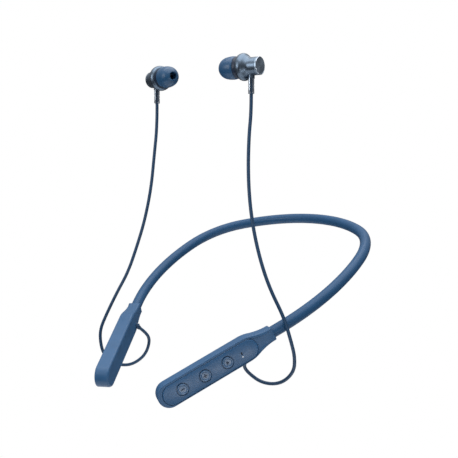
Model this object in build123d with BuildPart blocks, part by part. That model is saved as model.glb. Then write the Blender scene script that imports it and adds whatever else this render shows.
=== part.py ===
"""Neckband earphones: a springy silicone neck band, two control pods and two wired ear buds.

Frame: millimetres, +Z up, -Y to the wearer's front, +X to the wearer's left. The origin is the
point at the back centre of the band where it rests on the neck. The band slopes down to the
front as it is worn, and the buds stand at ear height above the pods.
"""

import os
from math import cos, pi, radians, sin, tan

from build123d import *

# ---------------------------------------------------------------- driving dimensions
# Neck band: one round silicone sleeve over a spring wire
tube_radius = 3.2
sleeve_bore = 1.7
wire_radius = 0.6
lead_radius = 0.65
wire_offset = 0.85
band_slope = 20
back_radius = 85
back_half_angle = 35
corner_radius = 49
corner_angle = 46
side_radius = 105
side_angle = 38
arm_droop = 10.5
arm_straight = 3.8
knuckle_gap = 0.1

# Pods: stadium-shaped housings that stand on edge
pod_length = 53.7
pod_height = 13
pod_thickness = 8.2
pod_twist = 9
inner_edge_radius = 1.5
outer_edge_radius = 0.9
wall = 1.2
side_wall = 1.6
collar_length = 15.2
collar_height = 7.5
flare_start = -2
flare_middle = (3.5, 5.6)
socket_depth = 6
panel_height = 11
panel_thickness = 1.2
panel_front = -51.2
panel_rear = 4.7
panel_centre = -0.35
panel_ledge = 0.6

# Buttons, in the pod's own x along its length
button_centres = {"minus": -40.1, "plus": -26.8, "play": -13.5}
button_radius = 2.85
button_gap = 0.08
button_proud = 0.55
button_flange = 3.4
button_foot = 2.3
sign_span = 2.1
sign_width = 0.5
sign_height = 0.12
play_sign_radius = 1
dish_radius = 3.5
dish_depth = 0.35

# Microphone slot and light, between the play button and the collar
mic_centre = (-4.9, -0.1)
mic_slot_length = 1.8
mic_slot_width = 0.7
mic_size = (2, 2.4, 0.9)
light_centre = (-5.1, -1.9)
light_radius = 0.5

# Inside the pods
fit_gap = 0.05
board_gap = 0.3
board_thickness = 0.8
board_top = 1.0
switch_size = 3
switch_body_height = 0.55
switch_dome_radius = 0.9
switch_height = 0.85
rib_positions = (-45.2, -8.2)

# Charging socket on the lower edge of the left pod
socket_x = -20.5
socket_z = 0.1
socket_width = 8.9
socket_height = 3.2
socket_corner = 1.5
socket_face = -5.7
socket_length = 5.6
socket_shell = 0.3
socket_back = 0.6
tongue_size = (6.7, 0.7)
tongue_start = 1.2
cover_width = 10.4
cover_height = 4.2
cover_corner = 1.2
cover_thickness = 0.8
cover_plug_depth = 0.9

# Battery in the right pod
battery_size = (35, 9, 4.8)
battery_x = -26.7
battery_corner = 0.8
battery_floor_foam = 0.4
protection_board_x = -47.6
protection_board_size = (5.6, 6.4)

# Ear buds, measured along the bud's axis from the stem's centre line
bud_origin = (38.2, -98.9, 86.7)
bud_toe = 11
body_radius = 4.85
flange_radius = 7.4
flange_place = 4.4
shell_wall = 0.9
cap_face = -5.6
cap_edge = 0.55
cap_seam = -4.6
cap_spigot = -3.4
nozzle_radius = 2.6
nozzle_bore = 1.8
nozzle_end = 14.2
tip_radius = 6.2
tip_rear = 8.8
tip_front = 19.2
tip_bore = 2.65
tip_opening = 2.4
driver_radius = 5.15
driver_seat = 3.6
driver_front = 6.4
magnet_radius = 3.4
magnet_thickness = 1.5
mesh_thickness = 0.3
mesh_setback = 0.7
stem_radius = 1.85
stem_bore = 1.15
relief_radius = 1.1
stem_length = 14.5
stem_root = 3.5
stem_window_width = 1.4
stem_window_height = 8.5
stem_window_turn = 33

# Cables: the middle line of each, from its grommet on the pod to the foot of its stem
cable_radius = 0.95
grommet_length = 4.8
grommet_neck = 1.6
grommet_flange = 1.9
grommet_seat = 2.2
left_route = [
    (45.5, -107.6, -64.8), (43.3, -104.2, -68.0), (37.6, -104.4, -74.0), (36.9, -100.3, -79.0),
    (43.5, -95.6, -84.9), (54.0, -92.5, -84.1), (62.1, -91.0, -76.6), (64.8, -93.6, -67.2),
    (64.8, -97.2, -57.8), (62.6, -100.1, -45.7), (56.7, -104.1, -31.5), (51.8, -105.6, -18.5),
    (47.1, -106.0, -3.3), (43.2, -105.4, 13.0), (40.5, -103.9, 31.0), (39.1, -101.7, 49.7),
    (38.2, -98.9, 62.5), (38.2, -98.9, 72.2),
]
right_route = [
    (-45.5, -107.6, -64.8), (-43.1, -103.9, -68.3), (-44.2, -100.7, -73.8),
    (-45.6, -103.0, -81.8), (-48.7, -108.3, -86.7), (-52.4, -113.5, -88.3),
    (-57.8, -119.9, -86.5), (-60.6, -123.5, -81.1), (-61.7, -125.2, -75.0),
    (-61.8, -125.7, -65.7), (-58.7, -123.0, -56.0), (-54.1, -118.6, -42.9),
    (-48.8, -113.6, -29.7), (-44.7, -109.4, -12.6), (-41.6, -106.2, 2.1),
    (-39.2, -103.1, 21.5), (-38.4, -101.2, 41.1), (-38.2, -98.9, 59.0),
    (-38.2, -98.9, 72.2),
]

os.makedirs("parts", exist_ok=True)


def save(part, name):
    """Label a finished piece and write it as its own STEP file."""
    part.label = name
    export_step(part, f"parts/{name}.step")


def save_pair(part, stem):
    """Write a piece for the left side and its mirror image for the right side."""
    with BuildPart() as twin:
        mirror(part, about=Plane.YZ)
    save(part, f"left_{stem}")
    save(twin.part, f"right_{stem}")


# ---------------------------------------------------------------- reference planes
# The band's own plane, with x to the left and y to the back
band_plane = Plane(
    origin=(0, tube_radius, 0),
    x_dir=(1, 0, 0),
    z_dir=(0, -sin(radians(band_slope)), cos(radians(band_slope))),
)

# Each arm starts where the back arc ends and droops a little below the band's plane
arm_start_local = (
    back_radius * sin(radians(back_half_angle)),
    back_radius * (cos(radians(back_half_angle)) - 1),
    0,
)
arm_direction_local = (cos(radians(back_half_angle)), -sin(radians(back_half_angle)), 0)
arm_start = band_plane.from_local_coords(arm_start_local)
arm_direction = band_plane.from_local_coords(arm_direction_local) - band_plane.origin
arm_normal = band_plane.z_dir.rotate(Axis((0, 0, 0), arm_direction), arm_droop)
arm_plane = Plane(arm_start, x_dir=arm_direction, z_dir=arm_normal)

with BuildLine(arm_plane) as arm_curve:
    corner = JernArc((0, 0), (1, 0), corner_radius, -corner_angle)
    side = JernArc(corner @ 1, corner % 1, side_radius, -side_angle)
pod_direction = (side % 1).normalized()
collar_end = side @ 1 + pod_direction * arm_straight
shoulder = collar_end + pod_direction * collar_length
with BuildLine() as arm_path:
    add(arm_curve.line)
    Line(side @ 1, collar_end + pod_direction * socket_depth)

# Pod frame: x to the rear along the pod, y up its edge face, z out through its button face
outward = arm_normal.cross(pod_direction).rotate(Axis((0, 0, 0), pod_direction), pod_twist)
pod_plane = Plane(shoulder, x_dir=-pod_direction, z_dir=outward)

# Bud frame: x along the nozzle, y up, and the section's normal to the side
nozzle_direction = Vector(-cos(radians(bud_toe)), -sin(radians(bud_toe)), 0)
bud_section = Plane(bud_origin, x_dir=nozzle_direction, z_dir=nozzle_direction.cross(Vector(0, 0, 1)))
bud_axis = Axis(bud_origin, nozzle_direction)

half_height = pod_height / 2
half_thickness = pod_thickness / 2
panel_floor = half_thickness - panel_thickness
cavity_height = pod_height - 2 * side_wall
cavity_front = -pod_length + side_wall
cavity_rear = panel_rear - panel_ledge
cavity_floor = -half_thickness + wall
tip_centre = -pod_length + half_height


def pod_level(z):
    """The pod's plane moved outward to height z."""
    return pod_plane.offset(z)


def stadium(front, rear, height, centre=0):
    """Draw a round-ended outline along the pod in the current sketch."""
    with Locations(((front + rear) / 2, centre)):
        SlotOverall(rear - front, height)


# ---------------------------------------------------------------- neck band
# The back sleeve ends in two round sockets that the arms' knuckles turn in
with BuildPart() as band_sleeve_back:
    with BuildLine(band_plane):
        back_line = CenterArc((0, -back_radius), back_radius, 90 - back_half_angle, 2 * back_half_angle)
    with BuildSketch(Plane(origin=back_line @ 0, z_dir=back_line % 0)):
        Circle(tube_radius)
        Circle(sleeve_bore, mode=Mode.SUBTRACT)
    sweep(path=back_line)
    with Locations(arm_start, (-arm_start.X, arm_start.Y, arm_start.Z)):
        Sphere(tube_radius + knuckle_gap, mode=Mode.SUBTRACT)
save(band_sleeve_back.part, "band_sleeve_back")

# Each arm sleeve starts in a ball knuckle and ends in the pod's socket
with BuildLine() as bore_path:
    Line(arm_start - arm_direction * (tube_radius + 1), arm_start)
    add(arm_path.line)
with BuildPart() as band_sleeve_arm:
    with BuildSketch(Plane(origin=arm_start, z_dir=arm_direction)):
        Circle(tube_radius)
    sweep(path=arm_path.line)
    with Locations(arm_start):
        Sphere(tube_radius)
    with BuildSketch(Plane(origin=bore_path.line @ 0, z_dir=arm_direction)):
        Circle(sleeve_bore)
    sweep(path=bore_path.line, mode=Mode.SUBTRACT)
save_pair(band_sleeve_arm.part, "band_sleeve")

# One spring wire and one pair of leads run side by side through the whole band
with BuildLine() as band_path:
    mirror(arm_path.line, about=Plane.YZ)
    add(back_line)
    add(arm_path.line)
wire_start = arm_path.line @ 1
with BuildPart() as spring_wire:
    with BuildSketch(Plane(origin=wire_start, x_dir=arm_normal, z_dir=-pod_direction)):
        with Locations((wire_offset, 0)):
            Circle(wire_radius)
    sweep(path=band_path.line)
save(spring_wire.part, "spring_wire")

with BuildPart() as lead_wires:
    with BuildSketch(Plane(origin=wire_start, x_dir=arm_normal, z_dir=-pod_direction)):
        with Locations((-wire_offset, 0)):
            Circle(lead_radius)
    sweep(path=band_path.line)
save(lead_wires.part, "lead_wires")

# ---------------------------------------------------------------- pod housings
gland_direction = (pod_plane.y_dir + pod_plane.z_dir) * -1
gland_direction = gland_direction.normalized()
gland_tip = Vector(left_route[0])
gland_plane = Plane(gland_tip, x_dir=pod_plane.x_dir, z_dir=-gland_direction)

with BuildPart() as left_housing:
    # Side view of the pod and its collar
    with BuildSketch(pod_plane):
        with BuildLine():
            Line((collar_length, 0), (collar_length, collar_height / 2))
            hollow = TangentArc((collar_length, collar_height / 2), flare_middle, tangent=(-1, 0))
            TangentArc(flare_middle, (flare_start, half_height), tangent=hollow % 1)
            Line((flare_start, half_height), (tip_centre, half_height))
            CenterArc((tip_centre, 0), half_height, 90, 90)
            mirror(about=Plane.XZ)
        make_face()
    extrude(amount=half_thickness, both=True)
    inner_rim = faces().sort_by(Axis(pod_plane.origin, pod_plane.z_dir))[0].edges()
    outer_rim = faces().sort_by(Axis(pod_plane.origin, pod_plane.z_dir))[-1].edges()
    fillet(inner_rim, inner_edge_radius)
    fillet(outer_rim, outer_edge_radius)

    # Cavity with two cross ribs, the panel's recess and the sleeve's socket
    with BuildSketch(pod_level(cavity_floor)):
        stadium(cavity_front, cavity_rear, cavity_height)
    extrude(amount=half_thickness - cavity_floor, mode=Mode.SUBTRACT)
    with BuildSketch(pod_level(cavity_floor)):
        with Locations(*[(x, 0) for x in rib_positions]):
            Rectangle(wall, cavity_height)
    extrude(amount=board_top - board_thickness - cavity_floor)
    with BuildSketch(pod_level(panel_floor)):
        stadium(panel_front, panel_rear, panel_height, panel_centre)
    extrude(amount=panel_thickness, mode=Mode.SUBTRACT)
    with BuildSketch(Plane(collar_end, z_dir=pod_direction)):
        Circle(tube_radius)
    extrude(amount=socket_depth, mode=Mode.SUBTRACT)
    with BuildSketch(Plane(collar_end, z_dir=pod_direction)):
        Circle(sleeve_bore)
    extrude(amount=collar_length, mode=Mode.SUBTRACT)
    with BuildSketch(gland_plane):
        Circle(grommet_neck)
    extrude(amount=grommet_length, mode=Mode.SUBTRACT)
    with BuildSketch(gland_plane):
        Circle(grommet_flange)
    extrude(amount=grommet_seat, mode=Mode.SUBTRACT)
pod_shell = left_housing.part
with BuildPart() as right_housing:
    mirror(pod_shell, about=Plane.YZ)
save(right_housing.part, "right_housing")

# The left pod's lower edge is cut for the charging socket and its cover
lower_edge = Plane(
    pod_plane.from_local_coords((socket_x, -half_height, socket_z)),
    x_dir=pod_plane.x_dir,
    z_dir=pod_plane.y_dir,
)
with BuildPart() as left_housing_cut:
    add(pod_shell)
    with BuildSketch(lower_edge):
        RectangleRounded(cover_width, cover_height, cover_corner)
    extrude(amount=cover_thickness, mode=Mode.SUBTRACT)
    with BuildSketch(lower_edge):
        RectangleRounded(socket_width, socket_height, socket_corner)
    extrude(amount=2 * side_wall, mode=Mode.SUBTRACT)
save(left_housing_cut.part, "left_housing")

# ---------------------------------------------------------------- pod face panels
with BuildPart() as plain_panel:
    with BuildSketch(pod_level(panel_floor)):
        stadium(panel_front + fit_gap, panel_rear - fit_gap, panel_height - 2 * fit_gap, panel_centre)
    extrude(amount=panel_thickness)
with BuildPart() as right_face_panel:
    mirror(plain_panel.part, about=Plane.YZ)
save(right_face_panel.part, "right_face_panel")

with BuildPart() as left_face_panel:
    add(plain_panel.part)
    with BuildSketch(pod_level(half_thickness)):
        with Locations(*[(x, panel_centre) for x in button_centres.values()]):
            Circle(dish_radius)
    extrude(amount=-dish_depth, mode=Mode.SUBTRACT)
    with BuildSketch(pod_level(panel_floor)):
        with Locations(*[(x, panel_centre) for x in button_centres.values()]):
            Circle(button_radius + button_gap)
        with Locations(mic_centre):
            SlotOverall(mic_slot_length, mic_slot_width, rotation=90)
        with Locations(light_centre):
            Circle(light_radius)
    extrude(amount=panel_thickness, mode=Mode.SUBTRACT)
save(left_face_panel.part, "left_face_panel")


def button_symbol(name):
    """Draw the raised sign of one button in the current sketch."""
    if name == "play":
        RegularPolygon(play_sign_radius, 3)
    else:
        Rectangle(sign_span, sign_width)
    if name == "plus":
        Rectangle(sign_width, sign_span)


for name, x in button_centres.items():
    with BuildPart() as button:
        with BuildSketch(pod_level(button_foot)):
            with Locations((x, panel_centre)):
                Circle(button_flange)
        extrude(amount=panel_floor - button_foot - fit_gap)
        with BuildSketch(pod_level(button_foot)):
            with Locations((x, panel_centre)):
                Circle(button_radius)
        extrude(amount=half_thickness + button_proud - button_foot)
        with BuildSketch(pod_level(half_thickness + button_proud)):
            with Locations((x, panel_centre)):
                button_symbol(name)
        extrude(amount=sign_height)
    save(button.part, f"button_{name}")

    with BuildPart() as switch:
        with BuildSketch(pod_level(board_top)):
            with Locations((x, panel_centre)):
                Rectangle(switch_size, switch_size)
        extrude(amount=switch_body_height)
        with BuildSketch(pod_level(board_top)):
            with Locations((x, panel_centre)):
                Circle(switch_dome_radius)
        extrude(amount=switch_height)
    save(switch.part, f"switch_{name}")

# ---------------------------------------------------------------- left pod electronics
with BuildPart() as circuit_board:
    with BuildSketch(pod_level(board_top - board_thickness)):
        stadium(cavity_front + board_gap, cavity_rear - board_gap, cavity_height - 2 * board_gap)
        with Locations((socket_x, socket_face)):
            Rectangle(socket_width + 4 * fit_gap, 2 * socket_length, mode=Mode.SUBTRACT)
    extrude(amount=board_thickness)
save(circuit_board.part, "left_circuit_board")

with BuildPart() as microphone:
    with BuildSketch(pod_level(board_top)):
        with Locations(mic_centre):
            Rectangle(mic_size[0], mic_size[1])
    extrude(amount=mic_size[2])
save(microphone.part, "microphone")

with BuildPart() as led_light_guide:
    with BuildSketch(pod_level(board_top)):
        with Locations(light_centre):
            Circle(light_radius)
    extrude(amount=half_thickness - board_top)
save(led_light_guide.part, "led_light_guide")

# The charging socket: a thin shell with a tongue, reached through the pod's lower edge
socket_plane = Plane(
    pod_plane.from_local_coords((socket_x, socket_face, socket_z)),
    x_dir=pod_plane.x_dir,
    z_dir=pod_plane.y_dir,
)
with BuildPart() as charging_socket:
    with BuildSketch(socket_plane):
        RectangleRounded(socket_width, socket_height, socket_corner)
        offset(amount=-socket_shell, mode=Mode.SUBTRACT)
    extrude(amount=socket_length)
    with BuildSketch(socket_plane.offset(socket_length - socket_back)):
        RectangleRounded(socket_width, socket_height, socket_corner)
    extrude(amount=socket_back)
    with BuildSketch(socket_plane.offset(tongue_start)):
        Rectangle(tongue_size[0], tongue_size[1])
    extrude(amount=socket_length - socket_back - tongue_start)
save(charging_socket.part, "charging_socket")

# The soft cover closes the socket flush with the pod's lower edge
with BuildPart() as socket_cover:
    with BuildSketch(socket_plane):
        RectangleRounded(cover_width - 2 * fit_gap, cover_height - 2 * fit_gap, cover_corner - fit_gap)
    extrude(amount=-cover_thickness)
    with BuildSketch(socket_plane):
        RectangleRounded(socket_width, socket_height, socket_corner)
        offset(amount=-socket_shell - fit_gap, mode=Mode.REPLACE)
    extrude(amount=cover_plug_depth)
save(socket_cover.part, "socket_cover")

# ---------------------------------------------------------------- right pod electronics
right_pod_plane = Plane(
    Vector(-shoulder.X, shoulder.Y, shoulder.Z),
    x_dir=Vector(-pod_plane.x_dir.X, pod_plane.x_dir.Y, pod_plane.x_dir.Z),
    z_dir=Vector(-pod_plane.z_dir.X, pod_plane.z_dir.Y, pod_plane.z_dir.Z),
)
with BuildPart() as battery_pad:
    with BuildSketch(right_pod_plane.offset(cavity_floor)):
        with Locations((battery_x, 0)):
            Rectangle(battery_size[0] - 4, battery_size[1] - 2)
    extrude(amount=battery_floor_foam)
save(battery_pad.part, "battery_pad")

with BuildPart() as battery:
    with BuildSketch(right_pod_plane.offset(cavity_floor + battery_floor_foam)):
        with Locations((battery_x, 0)):
            RectangleRounded(battery_size[0], battery_size[1], battery_corner)
    extrude(amount=battery_size[2])
save(battery.part, "battery")

with BuildPart() as protection_board:
    with BuildSketch(right_pod_plane.offset(board_top - board_thickness)):
        with Locations((protection_board_x, 0)):
            Rectangle(protection_board_size[0], protection_board_size[1])
    extrude(amount=board_thickness)
save(protection_board.part, "protection_board")

# ---------------------------------------------------------------- cable grommets
gland_section = Plane(gland_tip, x_dir=pod_plane.x_dir, z_dir=pod_plane.x_dir.cross(gland_direction))
with BuildPart() as cable_grommet:
    with BuildSketch(gland_section):
        with BuildLine():
            Polyline(
                (0, 0),
                (1.2, 0),
                (1.45, 0.6 - grommet_seat),
                (grommet_flange, 0.6 - grommet_seat),
                (grommet_flange, -grommet_seat),
                (grommet_neck, -grommet_seat),
                (grommet_neck, -grommet_length),
                (0, -grommet_length),
                close=True,
            )
        make_face()
    revolve(axis=Axis(gland_tip, gland_direction))
save_pair(cable_grommet.part, "cable_grommet")

# ---------------------------------------------------------------- ear buds
# The outside of a bud's shell in section, from its rear edge to the front wall
with BuildPart() as bud_envelope:
    with BuildSketch(bud_section):
        with BuildLine():
            Line((cap_seam, body_radius), (0, body_radius))
            TangentArc((0, body_radius), (2.8, 6.8), tangent=(1, 0))
            ThreePointArc((2.8, 6.8), (flange_place, flange_radius), (tip_rear, tip_radius))
            Polyline((tip_rear, tip_radius), (tip_rear, 0), (cap_seam, 0), (cap_seam, body_radius))
        make_face()
    revolve(axis=bud_axis)

with BuildPart() as bud_housing:
    add(bud_envelope.part)
    with BuildSketch(bud_section):
        with BuildLine():
            Polyline(
                (cap_seam, 0),
                (cap_seam, body_radius - shell_wall),
                (driver_seat, body_radius - shell_wall),
                (driver_seat, driver_radius),
                (tip_rear - shell_wall, driver_radius),
                (tip_rear - shell_wall, nozzle_radius),
                (tip_rear, nozzle_radius),
                (tip_rear, 0),
                close=True,
            )
        make_face()
    revolve(axis=bud_axis, mode=Mode.SUBTRACT)
save_pair(bud_housing.part, "bud_housing")

with BuildPart() as bud_cap:
    with BuildSketch(bud_section):
        with BuildLine():
            Polyline(
                (cap_face, 0),
                (cap_face, body_radius - cap_edge),
                (cap_face + cap_edge, body_radius),
                (cap_seam, body_radius),
                (cap_seam, body_radius - shell_wall),
                (cap_spigot, body_radius - shell_wall),
                (cap_spigot, 0),
                close=True,
            )
        make_face()
    revolve(axis=bud_axis)
save_pair(bud_cap.part, "bud_cap")

magnet_place = bud_section.from_local_coords((cap_spigot, 0))
with BuildPart() as bud_magnet:
    with BuildSketch(Plane(magnet_place, z_dir=nozzle_direction)):
        Circle(magnet_radius)
    extrude(amount=magnet_thickness)
save_pair(bud_magnet.part, "bud_magnet")

with BuildPart() as bud_driver:
    with BuildSketch(bud_section):
        with BuildLine():
            Polyline(
                (2.2, 0),
                (2.2, magnet_radius - 0.2),
                (driver_seat, magnet_radius - 0.2),
                (driver_seat, driver_radius),
                (driver_front, driver_radius),
                (driver_front, driver_radius - 1),
                (driver_front + 0.5, 0),
                close=True,
            )
        make_face()
    revolve(axis=bud_axis)
save_pair(bud_driver.part, "bud_driver")

with BuildPart() as bud_nozzle:
    with BuildSketch(bud_section):
        with BuildLine():
            Polyline(
                (7.2, nozzle_bore),
                (7.2, 3.6),
                (tip_rear - shell_wall, 3.6),
                (tip_rear - shell_wall, nozzle_radius),
                (nozzle_end - 0.4, nozzle_radius),
                (nozzle_end, nozzle_radius - 0.3),
                (nozzle_end, nozzle_bore),
                close=True,
            )
        make_face()
    revolve(axis=bud_axis)
save_pair(bud_nozzle.part, "bud_nozzle")

mesh_place = bud_section.from_local_coords((nozzle_end - mesh_setback, 0))
with BuildPart() as nozzle_mesh:
    with BuildSketch(Plane(mesh_place, z_dir=nozzle_direction)):
        Circle(nozzle_bore)
    extrude(amount=mesh_thickness)
save_pair(nozzle_mesh.part, "nozzle_mesh")

# The soft tip: a dome around a core tube, open at the front and hollow at the back
with BuildPart() as ear_tip:
    with BuildSketch(bud_section):
        with BuildLine():
            Polyline((tip_rear, 5.4), (tip_rear, 6.1), (tip_rear + 0.6, tip_radius), (13, tip_radius))
            TangentArc((13, tip_radius), (18.6, 3.5), tangent=(1, 0))
            Polyline((18.6, 3.5), (tip_front, 2.7), (tip_front, tip_opening), (14.4, tip_opening))
            Polyline((14.4, tip_opening), (14.4, tip_bore), (tip_rear + 0.2, tip_bore))
            Polyline((tip_rear + 0.2, tip_bore), (tip_rear + 0.2, 3.7), (14.2, 3.7))
            TangentArc((14.2, 3.7), (12, 5.4), tangent=(0.1, 1))
            Line((12, 5.4), (tip_rear, 5.4))
        make_face()
    revolve(axis=bud_axis)
save_pair(ear_tip.part, "ear_tip")

# The stem: a metal sleeve cut into four prongs, over a rubber strain relief
stem_foot = Vector(bud_origin) - Vector(0, 0, stem_length)
stem_plane = Plane(stem_foot, x_dir=nozzle_direction, z_dir=(0, 0, 1))
with BuildPart() as bud_stem:
    with BuildSketch(stem_plane):
        Circle(stem_radius)
        Circle(stem_bore, mode=Mode.SUBTRACT)
    extrude(amount=stem_length - stem_root)
    with BuildSketch(stem_plane):
        Rectangle(3 * stem_radius, stem_window_width, rotation=stem_window_turn)
        Rectangle(stem_window_width, 3 * stem_radius, rotation=stem_window_turn)
    extrude(amount=stem_window_height, mode=Mode.SUBTRACT)
    add(bud_envelope.part, mode=Mode.SUBTRACT)
save_pair(bud_stem.part, "bud_stem")

with BuildPart() as strain_relief:
    with BuildSketch(stem_plane):
        Circle(relief_radius)
    extrude(amount=stem_length - stem_root)
    add(bud_envelope.part, mode=Mode.SUBTRACT)
save_pair(strain_relief.part, "strain_relief")


# ---------------------------------------------------------------- cables
def corner_radii(route):
    """Give each corner the widest bend that leaves a straight piece in both runs."""
    radii = []
    for before, here, after in zip(route, route[1:], route[2:]):
        run_in = Vector(here) - Vector(before)
        run_out = Vector(after) - Vector(here)
        half_turn = radians(run_in.get_angle(run_out)) / 2
        radii.append(0.45 * min(run_in.length, run_out.length) / tan(half_turn))
    return radii


for side_name, route in (("left", left_route), ("right", right_route)):
    radii = corner_radii(route)
    with BuildPart() as cable:
        with BuildLine() as cable_line:
            FilletPolyline(*route, radius=radii)
            middle_length = sum(edge.length for edge in edges())
        with BuildSketch(Plane(origin=cable_line.line @ 0, z_dir=cable_line.line % 0)):
            Circle(cable_radius)
        sweep(path=cable_line.line)
    save(cable.part, f"{side_name}_cable")
    print(side_name, "cable radii", [round(r, 1) for r in radii])
    swept_length = cable.part.volume / (pi * cable_radius**2)
    print(side_name, "cable length", round(middle_length, 1), "by volume", round(swept_length, 1))
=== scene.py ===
"""Neckband earphones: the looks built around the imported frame.

Shapes are worked out in millimetres, in the frame's own axes (+Z up, -Y front, +X the wearer's
left), and turned into Blender's metres when each mesh is made.
"""

import math

import bmesh
import bpy
from mathutils import Matrix, Vector


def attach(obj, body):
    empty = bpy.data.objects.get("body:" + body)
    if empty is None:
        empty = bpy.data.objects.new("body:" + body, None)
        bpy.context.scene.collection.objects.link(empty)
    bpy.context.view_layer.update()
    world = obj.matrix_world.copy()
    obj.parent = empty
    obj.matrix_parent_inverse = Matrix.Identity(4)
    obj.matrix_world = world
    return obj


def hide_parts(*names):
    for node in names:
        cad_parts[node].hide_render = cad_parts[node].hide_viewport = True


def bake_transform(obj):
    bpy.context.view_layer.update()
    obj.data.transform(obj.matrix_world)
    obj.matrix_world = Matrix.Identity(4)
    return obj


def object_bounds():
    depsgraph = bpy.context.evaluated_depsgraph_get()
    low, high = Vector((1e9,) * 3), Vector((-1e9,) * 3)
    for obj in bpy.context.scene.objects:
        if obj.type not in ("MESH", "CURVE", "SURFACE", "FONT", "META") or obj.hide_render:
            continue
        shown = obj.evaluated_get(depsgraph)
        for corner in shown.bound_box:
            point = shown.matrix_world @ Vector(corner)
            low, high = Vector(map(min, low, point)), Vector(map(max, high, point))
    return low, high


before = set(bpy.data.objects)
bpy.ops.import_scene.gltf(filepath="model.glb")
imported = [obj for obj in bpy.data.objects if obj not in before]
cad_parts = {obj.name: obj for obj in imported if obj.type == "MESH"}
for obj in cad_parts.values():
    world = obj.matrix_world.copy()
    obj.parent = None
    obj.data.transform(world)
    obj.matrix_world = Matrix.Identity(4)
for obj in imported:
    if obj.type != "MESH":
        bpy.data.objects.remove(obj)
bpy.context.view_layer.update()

MM = 0.001

# ---------------------------------------------------------------- driving dimensions, in mm
TUBE_RADIUS = 3.2
WIRE_RADIUS, LEAD_RADIUS, WIRE_OFFSET = 0.6, 0.65, 0.85
SLEEVE_SIDES, WIRE_SIDES = 40, 14
SLEEVE_START, SLEEVE_OVERLAP = 1.9, 1.4
BAND_SLOPE = 20
BACK_RADIUS = 85
BACK_HALF_ANGLE = 35
CORNER_RADIUS, CORNER_ANGLE = 49, 46
SIDE_RADIUS, SIDE_ANGLE = 105, 38
ARM_DROOP = 10.5
ARM_STRAIGHT = 3.8

POD_HALF_HEIGHT = 6.5
POD_TIP = -53.7
TIP_POINTS = 17
POD_TWIST = 9
COLLAR_LENGTH, COLLAR_HALF_HEIGHT = 15.2, 3.75
COLLAR_CORNER = 0.9
INNER_EDGE, OUTER_EDGE, COLLAR_EDGE, END_EDGE = 1.35, 0.5, 1.3, 0.45
FLARE_START, FLARE_MIDDLE, FLARE_MIDDLE_HEIGHT = -2, 3.5, 5.6
POD_HALF_THICKNESS, COLLAR_HALF_THICKNESS = 4.1, 3.7
RECESS_HALF_HEIGHT = 5.62
RECESS_FLOOR = 2.9
RECESS_DIP = 0.6
PANEL_HALF_HEIGHT = 5.5
PANEL_FRONT, PANEL_REAR = -51.2, 4.7
PANEL_CENTRE = -0.35
PANEL_CROWN = 0.35
PANEL_EDGE = 0.42
BUTTON_X = {"minus": -40.1, "plus": -26.8, "play": -13.5}
CAP_RADIUS = 2.85
DISH_RADIUS = 3.5
CAP_RISE, CAP_DISH = 0.5, 0.3
MIC_PLACE = (-4.9, -0.1)
LAMP_PLACE = (-5.1, -1.9)
LAMP_RADIUS = 0.34
GROMMET_LENGTH = 4.8

BUD_CENTRE = Vector((38.2, -98.9, 86.7))
BUD_TOE = 11
BUD_SEGMENTS = 112
STEM_LENGTH = 14.5
STEM_RADIUS = 1.85
STEM_BORE = 1.2
STEM_WINDOW_TURN = 57
PRONG_GROOVES = (-11.4, -9.8)
RELIEF_RADIUS = 1.1

CABLE_DIAMETER = 1.9
CABLE_ROUTE = {
    "left": [
        (45.5, -107.6, -64.8), (43.3, -104.2, -68.0), (37.6, -104.4, -74.0),
        (36.9, -100.3, -79.0), (43.5, -95.6, -84.9), (54.0, -92.5, -84.1),
        (62.1, -91.0, -76.6), (64.8, -93.6, -67.2), (64.8, -97.2, -57.8),
        (62.6, -100.1, -45.7), (56.7, -104.1, -31.5), (51.8, -105.6, -18.5),
        (47.1, -106.0, -3.3), (43.2, -105.4, 13.0), (40.5, -103.9, 31.0),
        (39.1, -101.7, 49.7), (38.2, -98.9, 62.5), (38.2, -98.9, 72.2),
    ],
    "right": [
        (-45.5, -107.6, -64.8), (-43.1, -103.9, -68.3), (-44.2, -100.7, -73.8),
        (-45.6, -103.0, -81.8), (-48.7, -108.3, -86.7), (-52.4, -113.5, -88.3),
        (-57.8, -119.9, -86.5), (-60.6, -123.5, -81.1), (-61.7, -125.2, -75.0),
        (-61.8, -125.7, -65.7), (-58.7, -123.0, -56.0), (-54.1, -118.6, -42.9),
        (-48.8, -113.6, -29.7), (-44.7, -109.4, -12.6), (-41.6, -106.2, 2.1),
        (-39.2, -103.1, 21.5), (-38.4, -101.2, 41.1), (-38.2, -98.9, 59.0),
        (-38.2, -98.9, 72.2),
    ],
}

CAMERA_PLACE = Vector((312.96, -405.85, 26.98))
CAMERA_AZIMUTH, CAMERA_ELEVATION = 43.49, 3.8
CAMERA_LENS = 59.86

SIDES = ("left", "right")

# ---------------------------------------------------------------- studio, in metres and watts
SIDE_GLOW, SKY_STRENGTH = 0.12, 1.0
FLOOR_DROP, FLOOR_HALF_SIZE = 0.3, 0.4
LIGHTS = {  # place, target, size, power
    "overhead": ((0.1, -0.1, 0.75), (0, -0.08, 0), (1.2, 1.2), 11),
    "side": ((0.56, -0.34, -0.235), (0.02, -0.13, -0.075), (0.45, 0.12), 0.8),
    "front": ((-0.16, -0.65, 0.17), (0.04, -0.1, 0.087), (0.3, 0.3), 1.3),
}


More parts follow.
